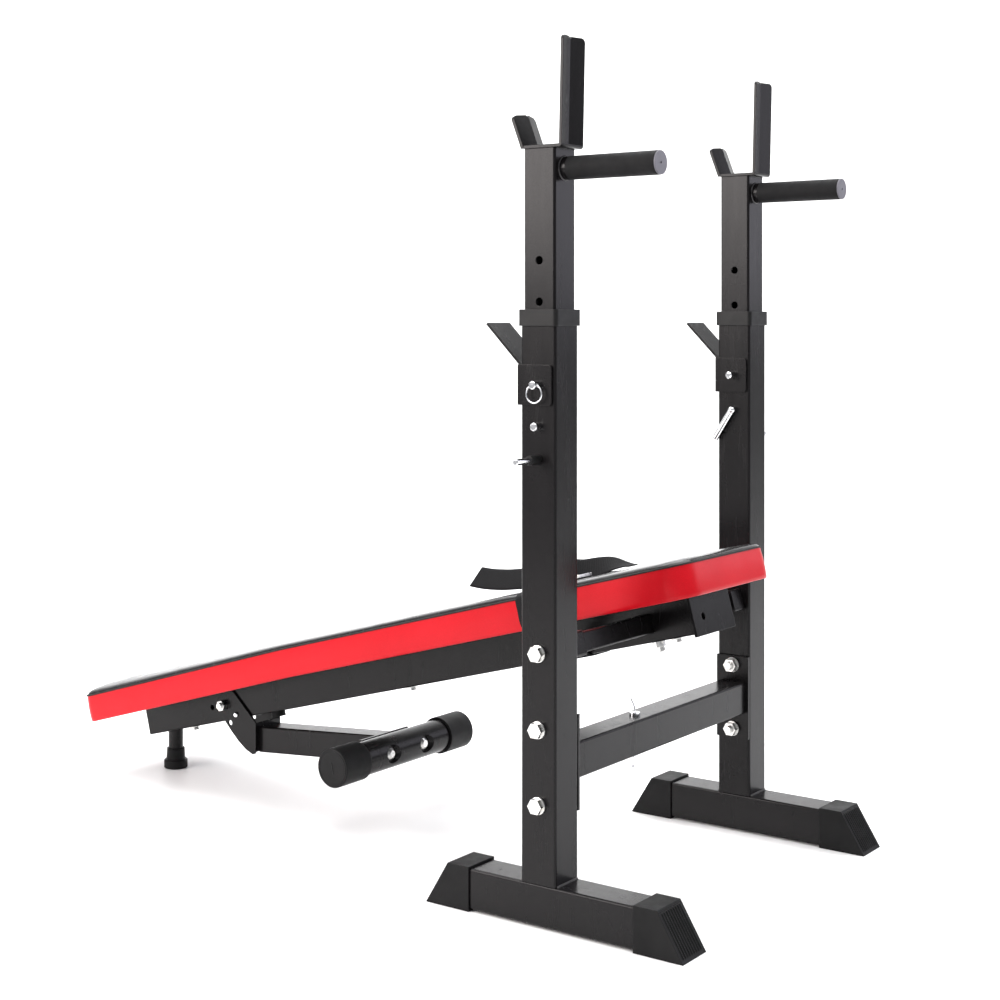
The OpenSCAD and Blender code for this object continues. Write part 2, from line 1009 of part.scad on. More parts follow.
// Places the foot bar's parts: origin on its axis, +X along the folded leg
module on_foot_bar() {
    on_leg()
        along_leg()
            translate([leg_long + plate_thick + foot_bar_d / 2, 0, 0])
                children();
}

module foot_bar() {
    r = foot_bar_d / 2;
    half = foot_bar_length / 2 - foot_cap_end;
    color(black)
        on_foot_bar()
            difference() {
                union() {
                    difference() {
                        rod_y(r, 2 * half);
                        rod_y(r - 2, 2 * half + 2);
                    }
                    for (y = [-foot_bolt_at, foot_bolt_at])
                        translate([0, y, 0])
                            intersection() {
                                translate([dimple_floor - 2, 0, 0])
                                    rotate([0, 90, 0])
                                        cylinder(r = dimple_mouth + 2, h = r);
                                rod_y(r - 0.5, 4 * dimple_mouth);
                            }
                }
                for (y = [-foot_bolt_at, foot_bolt_at])
                    translate([0, y, 0]) {
                        translate([dimple_floor, 0, 0])
                            rotate([0, 90, 0])
                                cylinder(r1 = dimple_r, r2 = dimple_mouth, h = r - dimple_floor + 0.5);
                        rod_x(4.25, 4 * r);
                    }
            }
}

module foot_bar_caps() {
    half = foot_bar_length / 2;
    color(rubber)
        on_foot_bar()
            for (side = [-1, 1])
                translate([0, side * half, 0])
                    rotate([side * 90, 0, 0])
                        difference() {
                            union() {
                                cylinder(d1 = foot_cap_d - 2, d2 = foot_cap_d, h = 1);
                                translate([0, 0, 1])
                                    cylinder(d = foot_cap_d, h = foot_cap_long - 1);
                            }
                            translate([0, 0, foot_cap_end])
                                cylinder(d = foot_bar_d, h = foot_cap_long);
                        }
}

module foot_bar_bolts() {
    r = foot_bar_d / 2;
    color(steel)
        on_foot_bar()
            for (y = [-foot_bolt_at, foot_bolt_at])
                translate([0, y, 0])
                    rotate([0, 90, 0]) {
                        translate([0, 0, dimple_floor])
                            cylinder(r = dome_r, h = 1.5);
                        translate([0, 0, dimple_floor + 1.5])
                            cylinder(r1 = dome_r, r2 = dome_r - 3.5, h = 3);
                        translate([0, 0, -r - plate_thick - 9])
                            cylinder(r = 4, h = dimple_floor + r + plate_thick + 10);
                        translate([0, 0, -r - plate_thick - 6.5])
                            cylinder(r = 13 / sqrt(3), h = 6.5, $fn = 6);
                    }
}

foot_tube(-1);  // foot_tube_right
foot_tube(1);  // foot_tube_left
foot_caps(-1);  // foot_caps_right
foot_caps(1);  // foot_caps_left
post(-1);  // post_right
post(1);  // post_left
weld_beads();
collar(-1);  // collar_right
collar(1);  // collar_left
crossbar();
crossbar_plates();
rack_bolts();
washers();
rack_nuts();
pivot_bolts();
plunger_barrels();
plunger_pin(-1);  // plunger_pin_right
plunger_pin(1);  // plunger_pin_left
catch(-1);  // catch_right
catch(1);  // catch_left
inner_post(-1);  // inner_post_right
inner_post(1);  // inner_post_left
hook(-1);  // hook_right
hook(1);  // hook_left
handle_tube(-1);  // handle_tube_right
handle_tube(1);  // handle_tube_left
grip(-1);  // grip_right
grip(1);  // grip_left
grip_plug(-1);  // grip_plug_right
grip_plug(1);  // grip_plug_left
hitch_pin(-1);  // hitch_pin_right
hitch_pin(1);  // hitch_pin_left
ring(-1);  // ring_right
ring(1);  // ring_left
lock_pin(-1);  // lock_pin_right
lock_pin(1);  // lock_pin_left
crossbar_pin();
spine();
spine_plug();
end_plate();
cross_tube();
cross_sleeves();
cross_plugs();
cross_bolt();
short_leg();
rubber_foot();
pad_board();
pad_cushion();
pad_bolts();
strap();
strap_buckle();
leg_bumper();
leg_bolt();
leg_bracket();
leg_tube();
index_pins();
foot_bar();
foot_bar_caps();
foot_bar_bolts();
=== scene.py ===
import json
import math

import bmesh
import bpy
from mathutils import Matrix, Vector, noise


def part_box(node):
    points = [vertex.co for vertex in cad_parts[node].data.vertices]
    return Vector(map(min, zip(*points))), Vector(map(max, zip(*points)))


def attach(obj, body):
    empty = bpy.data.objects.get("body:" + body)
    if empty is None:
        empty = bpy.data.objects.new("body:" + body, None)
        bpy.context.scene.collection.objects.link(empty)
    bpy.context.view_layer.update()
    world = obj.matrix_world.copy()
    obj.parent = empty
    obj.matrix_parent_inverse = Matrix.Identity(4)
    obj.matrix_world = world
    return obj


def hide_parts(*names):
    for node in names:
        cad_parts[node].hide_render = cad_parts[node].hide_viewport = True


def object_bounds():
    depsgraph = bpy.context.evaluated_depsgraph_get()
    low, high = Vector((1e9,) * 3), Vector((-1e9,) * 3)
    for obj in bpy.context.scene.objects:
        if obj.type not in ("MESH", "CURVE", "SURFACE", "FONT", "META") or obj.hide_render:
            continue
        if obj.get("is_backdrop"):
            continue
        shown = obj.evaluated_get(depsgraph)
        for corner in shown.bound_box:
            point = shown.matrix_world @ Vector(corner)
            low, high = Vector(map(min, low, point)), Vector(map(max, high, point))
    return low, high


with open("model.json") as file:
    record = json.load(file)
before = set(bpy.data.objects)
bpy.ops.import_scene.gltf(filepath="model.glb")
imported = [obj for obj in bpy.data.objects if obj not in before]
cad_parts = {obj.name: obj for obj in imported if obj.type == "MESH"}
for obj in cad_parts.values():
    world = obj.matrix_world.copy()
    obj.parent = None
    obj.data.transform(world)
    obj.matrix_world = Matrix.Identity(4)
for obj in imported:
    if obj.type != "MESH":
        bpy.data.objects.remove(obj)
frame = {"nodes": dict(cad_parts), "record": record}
cad_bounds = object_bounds()

MM = 0.001
JOINTS = {j["name"]: j for j in frame["record"]["behaviour"]["joints"]}
TILT = Vector(JOINTS["bench_tilt"]["pos_m"])
SLOPE = math.radians(15.1)
HALF_SPACING = 0.251
BENCH = Matrix.Translation(TILT) @ Matrix.Rotation(-SLOPE, 4, "Y")


# ---------------------------------------------------------------- materials


class Look:
    """A principled material with short helpers for its procedural inputs."""

    def __init__(self, name, space="Object"):
        self.mat = bpy.data.materials.new(name)
        self.mat.use_nodes = True
        self.nodes = self.mat.node_tree.nodes
        self.links = self.mat.node_tree.links
        self.shader = self.nodes["Principled BSDF"]
        self.coords = self.nodes.new("ShaderNodeTexCoord").outputs[space]

    def link(self, out, socket):
        self.links.new(out, socket)

    def put(self, **values):
        for key, value in values.items():
            name = key.replace("_", " ")
            self.shader.inputs[name].default_value = value

    def stretched(self, scale, turn=(0, 0, 0)):
        n = self.nodes.new("ShaderNodeMapping")
        n.inputs["Scale"].default_value = scale
        n.inputs["Rotation"].default_value = turn
        self.link(self.coords, n.inputs["Vector"])
        return n.outputs["Vector"]

    def noise(self, scale, detail=4.0, rough=0.5, coords=None, distortion=0.0):
        n = self.nodes.new("ShaderNodeTexNoise")
        n.inputs["Scale"].default_value = scale
        n.inputs["Detail"].default_value = detail
        n.inputs["Roughness"].default_value = rough
        n.inputs["Distortion"].default_value = distortion
        self.link(coords or self.coords, n.inputs["Vector"])
        return n.outputs["Fac"]

    def cells(self, scale, feature="F1", coords=None):
        n = self.nodes.new("ShaderNodeTexVoronoi")
        n.feature = feature
        n.inputs["Scale"].default_value = scale
        self.link(coords or self.coords, n.inputs["Vector"])
        return n.outputs["Distance"]

    def waves(self, scale, direction, coords=None, distortion=0.0):
        n = self.nodes.new("ShaderNodeTexWave")
        n.bands_direction = direction
        n.inputs["Scale"].default_value = scale
        n.inputs["Distortion"].default_value = distortion
        self.link(coords or self.coords, n.inputs["Vector"])
        return n.outputs["Fac"]

    def ramp(self, fac, *stops):
        n = self.nodes.new("ShaderNodeValToRGB")
        ramp = n.color_ramp
        while len(ramp.elements) < len(stops):
            ramp.elements.new(0.5)
        for element, (at, color) in zip(ramp.elements, stops):
            element.position = at
            grey = isinstance(color, (int, float))
            element.color = (color, color, color, 1) if grey else (*color, 1)
        self.link(fac, n.inputs["Fac"])
        return n.outputs["Color"]

    def mix(self, fac, a, b, kind="MIX"):
        n = self.nodes.new("ShaderNodeMix")
        n.data_type = "RGBA"
        n.blend_type = kind
        for value, socket in ((fac, n.inputs[0]), (a, n.inputs[6]), (b, n.inputs[7])):
            if isinstance(value, (int, float)) and socket.type == "VALUE":
                socket.default_value = value
            elif isinstance(value, tuple):
                socket.default_value = (*value, 1)
            else:
                self.link(value, socket)
        return n.outputs[2]

    def math(self, kind, a, b=0.0):
        n = self.nodes.new("ShaderNodeMath")
        n.operation = kind
        n.use_clamp = True
        for value, socket in ((a, n.inputs[0]), (b, n.inputs[1])):
            if isinstance(value, (int, float)):
                socket.default_value = value
            else:
                self.link(value, socket)
        return n.outputs[0]

    def rounded(self, radius):
        n = self.nodes.new("ShaderNodeBevel")
        n.samples = 6
        n.inputs["Radius"].default_value = radius
        return n.outputs["Normal"]

    def edges(self, radius, low, high):
        """Bright where a rounded copy of the normal leaves the true one: along the edges."""
        dot = self.nodes.new("ShaderNodeVectorMath")
        dot.operation = "DOT_PRODUCT"
        self.link(self.rounded(radius), dot.inputs[0])
        self.link(self.nodes.new("ShaderNodeNewGeometry").outputs["Normal"], dot.inputs[1])
        return self.ramp(dot.outputs["Value"], (low, 1.0), (high, 0.0))

    def upward(self, low, high):
        split = self.nodes.new("ShaderNodeSeparateXYZ")
        self.link(self.nodes.new("ShaderNodeNewGeometry").outputs["Normal"], split.inputs[0])
        return self.ramp(split.outputs["Z"], (low, 0.0), (high, 1.0))

    def bump(self, height, distance, strength=1.0, normal=None):
        n = self.nodes.new("ShaderNodeBump")
        n.inputs["Strength"].default_value = strength
        n.inputs["Distance"].default_value = distance
        self.link(height, n.inputs["Height"])
        if normal is not None:
            self.link(normal, n.inputs["Normal"])
        return n.outputs["Normal"]

    def color(self, out):
        self.link(out, self.shader.inputs["Base Color"])

    def rough(self, out):
        self.link(out, self.shader.inputs["Roughness"])

    def normal(self, out):
        self.link(out, self.shader.inputs["Normal"])


def powder_coat():
    """Semi-gloss black powder coat: orange peel, edges lightened partly by wear and partly by a painted edge
    highlight, faint scuffs and dust.
    """
    k = Look("powder_coat")
    base = k.ramp(k.noise(5, 5, 0.6), (0.3, (0.0038, 0.0033, 0.0037)), (0.7, (0.0062, 0.0056, 0.0061)))
    fleck = k.ramp(k.noise(1500, 2, 0.5), (0.55, 0.0), (0.8, 0.35))
    base = k.mix(fleck, base, (0.012, 0.0115, 0.0125))
    # edges lighter in random patches: partly chipped thin coat, partly a painted highlight along the edges
    patches = k.ramp(k.noise(90, 5, 0.7), (0.48, 0.0), (0.62, 0.8))
    chips_and_edge_highlight = k.math("MULTIPLY", k.edges(0.0012, 0.86, 0.985), patches)
    base = k.mix(chips_and_edge_highlight, base, (0.03, 0.028, 0.028))
    dust = k.math("MULTIPLY", k.upward(0.5, 1.0), k.ramp(k.noise(26, 6, 0.65), (0.42, 0.0), (0.75, 0.10)))
    base = k.mix(dust, base, (0.12, 0.115, 0.11))
    k.color(base)
    scuff = k.noise(60, 6, 0.7, k.stretched((1, 1, 0.12)))
    k.rough(k.ramp(scuff, (0.3, 0.22), (0.6, 0.27), (0.8, 0.38)))
    peel = k.noise(420, 2, 0.4)
    k.normal(k.bump(peel, 0.00006, 0.7, k.rounded(0.0011)))
    k.put(Specular_IOR_Level=0.17)
    return k.mat


def rubber():
    """Matte moulded rubber with a fine grain, a pale bloom and scuffed edges."""
    k = Look("rubber")
    base = k.ramp(k.noise(14, 6, 0.65), (0.3, (0.0040, 0.0040, 0.0043)), (0.75, (0.0075, 0.0075, 0.0078)))
    patches = k.ramp(k.noise(60, 4, 0.7), (0.4, 0.0), (0.65, 0.6))
    worn = k.math("MULTIPLY", k.edges(0.0018, 0.8, 0.98), patches)
    base = k.mix(worn, base, (0.022, 0.022, 0.023))
    k.color(base)
    k.rough(k.ramp(k.noise(35, 5, 0.6), (0.3, 0.46), (0.7, 0.62)))
    grain = k.noise(900, 3, 0.6)
    k.normal(k.bump(grain, 0.00008, 0.8, k.rounded(0.0016)))
    k.put(Specular_IOR_Level=0.16)
    return k.mat


def foam_grip():
    """Closed-cell foam sleeve: small pores and a soft sheen."""
    k = Look("foam_grip")
    base = k.ramp(k.noise(30, 5, 0.6), (0.3, (0.0055, 0.0055, 0.006)), (0.7, (0.0095, 0.0095, 0.010)))
    k.color(base)
    k.rough(k.ramp(k.noise(120, 4, 0.6), (0.3, 0.60), (0.7, 0.78)))
    pores = k.cells(1500)
    k.normal(k.bump(pores, 0.0001, 0.8, k.rounded(0.0014)))
    k.put(Specular_IOR_Level=0.14)
    return k.mat


def plastic(name, dark, pale, rough=0.42):
    """Injection-moulded plastic with a spark-eroded texture."""
    k = Look(name)
    k.color(k.ramp(k.noise(12, 5, 0.6), (0.3, dark), (0.75, pale)))
    k.rough(k.ramp(k.noise(80, 4, 0.6), (0.3, rough - 0.05), (0.7, rough + 0.1)))
    k.normal(k.bump(k.noise(1100, 2, 0.5), 0.00006, 0.7, k.rounded(0.0012)))
    k.put(Specular_IOR_Level=0.22)
    return k.mat


def zinc():
    """Bright zinc plate: cloudy patches, fine brushing and faint yellow passivation."""
    k = Look("zinc_plate")
    shades = [(0.3, (0.58, 0.59, 0.60)), (0.6, (0.74, 0.73, 0.70)), (0.8, (0.70, 0.66, 0.56))]
    tint = k.ramp(k.noise(70, 4, 0.6), *shades)
    k.color(tint)
    k.rough(k.ramp(k.noise(160, 5, 0.65), (0.3, 0.20), (0.75, 0.42)))
    k.normal(k.bump(k.noise(700, 3, 0.6), 0.00005, 0.7, k.rounded(0.0007)))
    k.put(Metallic=1.0)
    return k.mat


def chrome():
    """Chrome-plated wire and pins with drawing marks and rubbed spots."""
    k = Look("chrome_plate")
    k.color(k.ramp(k.noise(40, 4, 0.6), (0.35, (0.70, 0.71, 0.73)), (0.7, (0.84, 0.84, 0.85))))
    k.rough(k.ramp(k.noise(220, 5, 0.7), (0.35, 0.07), (0.75, 0.24)))
    marks = k.noise(500, 4, 0.6, k.stretched((1, 0.06, 1)))
    k.normal(k.bump(marks, 0.00004, 0.6, k.rounded(0.0006)))
    k.put(Metallic=1.0)
    return k.mat


def vinyl(name, dark, pale, rough, coat, gloss):
    """Coated synthetic leather: pebbled grain, soft creases, slight wear."""
    k = Look(name)
    grain = k.cells(620, "SMOOTH_F1", k.stretched((1, 1.15, 1)))
    base = k.ramp(k.noise(7, 5, 0.6), (0.3, dark), (0.72, pale))
    base = k.mix(k.ramp(grain, (0.0, 0.0), (0.5, 0.22)), base, tuple(0.55 * v for v in dark))
    k.color(base)
    k.rough(k.ramp(k.noise(24, 6, 0.65), (0.3, rough - 0.05), (0.75, rough + 0.09)))
    creases = k.noise(55, 5, 0.6, k.stretched((0.35, 1.0, 1.0)), 0.6)
    soft = k.bump(creases, 0.00035, 0.35)
    k.normal(k.bump(grain, 0.00011, 0.75, soft))
    k.put(Specular_IOR_Level=gloss, Coat_Weight=coat, Coat_Roughness=0.18)
    return k.mat


def backing():
    """Thin black backing cloth stapled over the board."""
    k = Look("backing_cloth")
    turn = (0, SLOPE, 0)
    warp = k.waves(260, "X", k.stretched((1, 1, 1), turn), 0.6)
    weft = k.waves(260, "Y", k.stretched((1, 1, 1), turn), 0.6)
    weave = k.math("MAXIMUM", warp, weft)
    k.color(k.mix(weave, (0.008, 0.008, 0.008), (0.028, 0.028, 0.029)))
    k.rough(k.ramp(k.noise(90, 4, 0.6), (0.3, 0.72), (0.7, 0.9)))
    k.normal(k.bump(weave, 0.00012, 0.6))
    k.put(Specular_IOR_Level=0.14)
    return k.mat


def webbing():
    """Woven polypropylene webbing; its coordinates run in metres along the strap."""
    k = Look("webbing", "UV")
    ribs = k.waves(125, "Y", None, 0.3)
    yarns = k.waves(320, "X", k.stretched((1, 1, 1), (0, 0, 0.6)), 0.2)
    weave = k.math("MULTIPLY", ribs, k.ramp(yarns, (0.0, 0.45), (1.0, 1.0)))
    fuzz = k.noise(900, 3, 0.7)
    base = k.mix(weave, (0.004, 0.004, 0.0045), (0.013, 0.013, 0.014))
    k.color(k.mix(k.ramp(fuzz, (0.55, 0.0), (0.8, 0.4)), base, (0.022, 0.022, 0.023)))
    k.rough(k.ramp(fuzz, (0.3, 0.68), (0.7, 0.86)))
    k.normal(k.bump(weave, 0.0003, 0.9))
    k.put(Specular_IOR_Level=0.14)
    return k.mat


def weld():
    """Painted weld: rippled, glossy where the coat runs thick."""
    k = Look("painted_weld")
    k.color(k.ramp(k.noise(60, 4, 0.6), (0.3, (0.016, 0.015, 0.016)), (0.7, (0.035, 0.033, 0.035))))
    k.rough(k.ramp(k.noise(90, 4, 0.6), (0.3, 0.26), (0.7, 0.42)))
    k.normal(k.bump(k.waves(260, "Y", None, 2.5), 0.0004, 0.7))
    return k.mat


def floor_paper():
    """White sweep: barely mottled matte paper."""
    k = Look("sweep")
    k.color(k.ramp(k.noise(3, 4, 0.5), (0.3, 0.90), (0.7, 0.93)))
    k.rough(k.ramp(k.noise(9, 4, 0.5), (0.3, 0.40), (0.7, 0.48)))
    k.put(Specular_IOR_Level=0.35)
    return k.mat


MATS = {
    "frame": powder_coat(),
    "rubber": rubber(),
    "grip": foam_grip(),
    "plastic": plastic("moulded_black", (0.004, 0.004, 0.004), (0.008, 0.008, 0.0083)),
    "plug": plastic("moulded_gray", (0.11, 0.108, 0.125), (0.16, 0.155, 0.18), 0.38),
    "zinc": zinc(),
    "chrome": chrome(),
    "red": vinyl("red_vinyl", (0.46, 0.0035, 0.009), (0.56, 0.006, 0.014), 0.33, 0.03, 0.14),
    "black": vinyl("black_vinyl", (0.005, 0.005, 0.0055), (0.010, 0.010, 0.0105), 0.24, 0.2, 0.35),
    "board": backing(),
    "webbing": webbing(),
    "weld": weld(),
    "thread": plastic("thread", (0.010, 0.010, 0.010), (0.020, 0.020, 0.020), 0.6),
}

SLOT_LOOK = {
    "frame": "frame",
    "zinc": "zinc",
    "chrome": "chrome",
    "rubber": "rubber",
    "plastic": "plastic",
    "plug": "plug",
    "board": "board",
    "cover": "red",
    "webbing": "webbing",
    "buckle": "zinc",
}

for part in frame["record"]["subparts"]:
    node = frame["nodes"][part["node"]]
    look = MATS[SLOT_LOOK[part["material_slot"]]]
    if part["node"].startswith("grip_") and "plug" not in part["node"]:
        look = MATS["grip"]
    if part["node"] == "weld_beads":
        look = MATS["weld"]
    node.data.materials.clear()
    node.data.materials.append(look)


# ---------------------------------------------------------------- mesh helpers


def add_mesh(name, verts, faces, look, smooth=True, matrix=None):
    mesh = bpy.data.meshes.new(name)
    points = [matrix @ Vector(v) for v in verts] if matrix else verts
    mesh.from_pydata([tuple(p) for p in points], [], faces)
    mesh.validate()
    if smooth:
        mesh.shade_smooth()
    obj = bpy.data.objects.new(name, mesh)
    obj.data.materials.append(look)
    bpy.context.scene.collection.objects.link(obj)
    return obj


def loft(rings, closed_ring=True, caps=False):
    """Vertices and faces of a skin through rings that have the same number of points."""
    count = len(rings[0])
    verts = [p for ring in rings for p in ring]
    faces = []
    for i in range(len(rings) - 1):
        for j in range(count if closed_ring else count - 1):
            a = i * count + j
            b = i * count + (j + 1) % count
            faces.append((a, b, b + count, a + count))
    if caps:
        faces.append(tuple(reversed(range(count))))
        faces.append(tuple(range(len(verts) - count, len(verts))))
    return verts, faces


def tube_along(path, radius, sides=8, closed=False):
    """Rings of a round tube that follows the path."""
    rings = []
    total = len(path)
    for i, point in enumerate(path):
        if closed:
            along = path[(i + 1) % total] - path[i - 1]
        else:
            along = path[min(i + 1, total - 1)] - path[max(i - 1, 0)]
        along.normalize()
        side = along.cross(Vector((0, 0, 1)))
        if side.length < 1e-4:
            side = Vector((0, 1, 0))
        side.normalize()
        up = side.cross(along)
        turns = [2 * math.pi * k / sides for k in range(sides)]
        rings.append([point + radius * (math.cos(t) * side + math.sin(t) * up) for t in turns])
    if closed:
        rings.append(rings[0])
    return rings


def smoothstep(x):
    x = max(0.0, min(1.0, x))
    return x * x * (3 - 2 * x)


# ---------------------------------------------------------------- pad

PAD_LOW = -1012 * MM
PAD_HIGH = 131 * MM
PAD_HALF = 120 * MM
LOW_CORNER = 20 * MM
HIGH_CORNER = 35 * MM
DROOP = 9.5 * MM
DROOP_FROM = -560 * MM
PAD_UNDER = 25.3 * MM
PAD_SEAM = 67.5 * MM
PAD_CREST = 75.5 * MM
STRAP_AT = -110 * MM
STRAP_HALF = 17 * MM
EDGE_STEP = 9 * MM
CORNER_STEPS = 12


def pad_ring(inset, level):
    """One ring of the pad: rounded rectangle with even steps, inset from the plan, at a height."""
    x0, x1 = PAD_LOW + inset, PAD_HIGH - inset
    y1 = PAD_HALF - inset
    long_steps = round((PAD_HIGH - PAD_LOW) / EDGE_STEP)
    wide_steps = round(2 * PAD_HALF / EDGE_STEP)
    high = min(max(HIGH_CORNER - inset, 0.5 * MM), y1)
    low = min(max(LOW_CORNER - inset, 0.5 * MM), y1)
    corners = [(x1 - high, y1 - high, 0, high), (x0 + low, y1 - low, 90, low)]
    corners += [(x0 + low, low - y1, 180, low), (x1 - high, high - y1, 270, high)]
    ring = []
    for i, (cx, cy, start, reach) in enumerate(corners):
        for k in range(CORNER_STEPS + 1):
            a = math.radians(start + 90 * k / CORNER_STEPS)
            ring.append((cx + reach * math.cos(a), cy + reach * math.sin(a)))
        steps = long_steps if i % 2 == 0 else wide_steps
        nx, ny, after, span = corners[(i + 1) % 4]
        b = math.radians(after)
        end = (nx + span * math.cos(b), ny + span * math.sin(b))
        first = ring[-1]
        for k in range(1, steps):
            t = k / steps
            ring.append((first[0] + t * (end[0] - first[0]), first[1] + t * (end[1] - first[1])))
    return [Vector((x, y, level)) for x, y in ring]


def pad_surface(ring, part):
    """Soft unevenness: pucker along the seams, a low swell on top and the strap's pinch."""
    out = []
    for p in ring:
        swell = noise.noise(Vector((p.x * 9, p.y * 14, part)))
        pucker = noise.noise(Vector((p.x * 75, p.y * 75, 7.0)))
        near_seam = math.exp(-(((p.z - PAD_SEAM) / (6 * MM)) ** 2))
        pinch = smoothstep(1 - (abs(p.x - STRAP_AT) - STRAP_HALF) / (26 * MM))
        lift = 0.7 * MM * swell * (p.z > PAD_SEAM) - 1.1 * MM * pinch * (p.z > PAD_SEAM)
        shrink = 1 - (0.5 * MM * pucker * near_seam + 0.5 * MM * pinch) / PAD_HALF
        sag = max(0.0, (DROOP_FROM - p.x) / (DROOP_FROM - PAD_LOW))
        lift -= DROOP * sag * (abs(p.y) / PAD_HALF) ** 2.5
        out.append(Vector((p.x, p.y * shrink, p.z + lift)))
    return out


def build_pad():
    side = []
    bulge = 1.6 * MM
    levels = 9
    side.append(pad_ring(6 * MM, PAD_UNDER))
    side.append(pad_ring(2.2 * MM, PAD_UNDER))
    for k in range(levels + 1):
        t = k / levels
        level = PAD_UNDER + 1.2 * MM + t * (PAD_SEAM - PAD_UNDER - 1.2 * MM)
        side.append(pad_ring(1.7 * MM - bulge * math.sin(math.pi * (0.12 + 0.76 * t)), level))
    side = [pad_surface(r, 1.0) for r in side]
    verts, faces = loft(side)
    body = add_mesh("pad_sides", verts, faces, MATS["red"], True, BENCH)

    top = []
    seam_inset = 1.6 * MM
    for inset, lift in ((1.6, 0.0), (2.6, 2.3), (4.6, 4.0), (7.6, 5.3), (12, 6.2), (20, 7.0), (32, 7.5)):
        top.append(pad_ring(inset * MM, PAD_SEAM + lift * MM))
    flat_steps = 9
    start = 32 * MM
    for k in range(1, flat_steps + 1):
        t = k / flat_steps
        inset = start + t * (PAD_HALF - 0.4 * MM - start)
        top.append(pad_ring(inset, PAD_SEAM + 7.5 * MM + t * (PAD_CREST - PAD_SEAM - 7.5 * MM)))
    top = [pad_surface(r, 2.0) for r in top]
    verts, faces = loft(top)
    cover = add_mesh("pad_top_panel", verts, faces, MATS["black"], True, BENCH)

    bead = pad_surface(pad_ring(seam_inset - 0.6 * MM, PAD_SEAM - 0.1 * MM), 1.0)
    verts, faces = loft(tube_along(bead, 1.25 * MM, 8, True))
    piping = add_mesh("pad_piping", verts, faces, MATS["thread"], True, BENCH)

    for obj in (body, cover, piping):
        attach(obj, "bench")
    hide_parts("pad_cushion")


build_pad()


# ---------------------------------------------------------------- strap

WEB = 1.5 * MM
WEB_WIDTH = 34 * MM
LOOSE_WIDTH = 32 * MM


def ribbon(name, path, across, width, thick=WEB):
    """Webbing along a path; across is the width direction at each point."""
    total = len(path)
    steps = 8
    rings = []
    for i, point in enumerate(path):
        along = (path[min(i + 1, total - 1)] - path[max(i - 1, 0)]).normalized()
        wide = across[i].normalized()
        up = wide.cross(along).normalized()
        ring = []
        for k in range(steps + 1):
            w = width * (k / steps - 0.5)
            ring.append(point + wide * w + up * (thick / 2))
        for k in range(steps, -1, -1):
            w = width * (k / steps - 0.5)
            ring.append(point + wide * w - up * (thick / 2))
        rings.append(ring)
    verts, faces = loft(rings, True, True)
    obj = add_mesh(name, verts, faces, MATS["webbing"], True)
    layer = obj.data.uv_layers.new(name="run")
    length = [0.0]
    for a, b in zip(path, path[1:]):
        length.append(length[-1] + (b - a).length)
    count = len(rings[0])
    for loop in obj.data.loops:
        i, k = divmod(loop.vertex_index, count)
        k = k if k <= steps else count - 1 - k
        layer.data[loop.index].uv = (width * k / steps, length[i])
    return obj, length[-1]


def spline(points, steps=14):
    """Catmull-Rom curve through the points."""
    out = []
    ext = [2 * points[0] - points[1]] + points + [2 * points[-1] - points[-2]]
    for i in range(1, len(ext) - 2):
        a, b, c, d = ext[i - 1 : i + 3]
        for k in range(steps):
            t = k / steps
            cubic = (3 * b - a - 3 * c + d) * t**3 + (2 * a - 5 * b + 4 * c - d) * t**2 + (c - a) * t
            out.append(b + cubic * 0.5)
    out.append(points[-1])
    return out


def build_strap():
    top = PAD_CREST + 1.2 * MM
    edge = PAD_SEAM + 4.5 * MM
    outer = PAD_HALF + 1.4 * MM
    keel = -26.4 * MM
    half = 26.4 * MM
    # half of the loop in the bench's cross plane, from the crest over +Y and under the spine
    run = [(0, top), (64 * MM, top - 0.3 * MM), (104 * MM, edge + 2.2 * MM), (115 * MM, edge)]
    run += [(outer, PAD_SEAM - 1 * MM), (outer + 0.4 * MM, 52 * MM), (outer, 34 * MM)]
    run += [(112 * MM, 23.4 * MM), (75 * MM, 4 * MM), (half + 3 * MM, keel + 3 * MM)]
    run += [(half - 4 * MM, keel - 0.6 * MM), (0, keel - 0.8 * MM)]
    full = run + [(-y, z) for y, z in reversed(run[1:-1])]
    points = [Vector((STRAP_AT, y, z)) for y, z in full]
    closed = points + [points[0]]
    path = [BENCH @ p for p in spline(closed, 10)]
    slope_dir = BENCH.to_3x3() @ Vector((1, 0, 0))
    loop, loop_length = ribbon("strap_loop", path, [slope_dir] * len(path), WEB_WIDTH)
    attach(loop, "bench")
    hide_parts("strap")

    # loose tail: leaves the buckle, humps over the pad and curls off the near edge towards the low end
    tail_points = [(-92, -44, 83), (-122, -52, 88), (-152, -55, 92)]
    tail_points += [(-184, -54, 96), (-213, -52, 102), (-236, -50, 109)]
    tail = spline([BENCH @ (Vector(p) * MM) for p in tail_points], 10)
    wide = []
    for i in range(len(tail)):
        t = i / (len(tail) - 1)
        lean = math.radians(24 + 30 * smoothstep(3 * t))
        wide.append(BENCH.to_3x3() @ Vector((0.1 + 0.5 * t * t, math.cos(lean), math.sin(lean))))
    obj, tail_length = ribbon("strap_tail", tail, wide, LOOSE_WIDTH)
    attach(obj, "bench")

    # slack that bulges up beyond the buckle towards the raised end
    slack_points = [(-106, -38, 90), (-94, -26, 91), (-79, -15, 86.5), (-60, -8, 86)]
    slack_points += [(-42, -4, 86), (-26, -2, 82), (-12, 0, 78.3)]
    slack = spline([BENCH @ (Vector(p) * MM) for p in slack_points], 10)
    wide = []
    for i in range(len(slack)):
        lean = math.radians(60 * (1 - smoothstep(1.6 * i / (len(slack) - 1) - 0.6)))
        wide.append(BENCH.to_3x3() @ Vector((-0.15, math.cos(lean), math.sin(lean))))
    obj, slack_length = ribbon("strap_slack", slack, wide, LOOSE_WIDTH)
    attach(obj, "bench")


build_strap()


# ---------------------------------------------------------------- small visual details


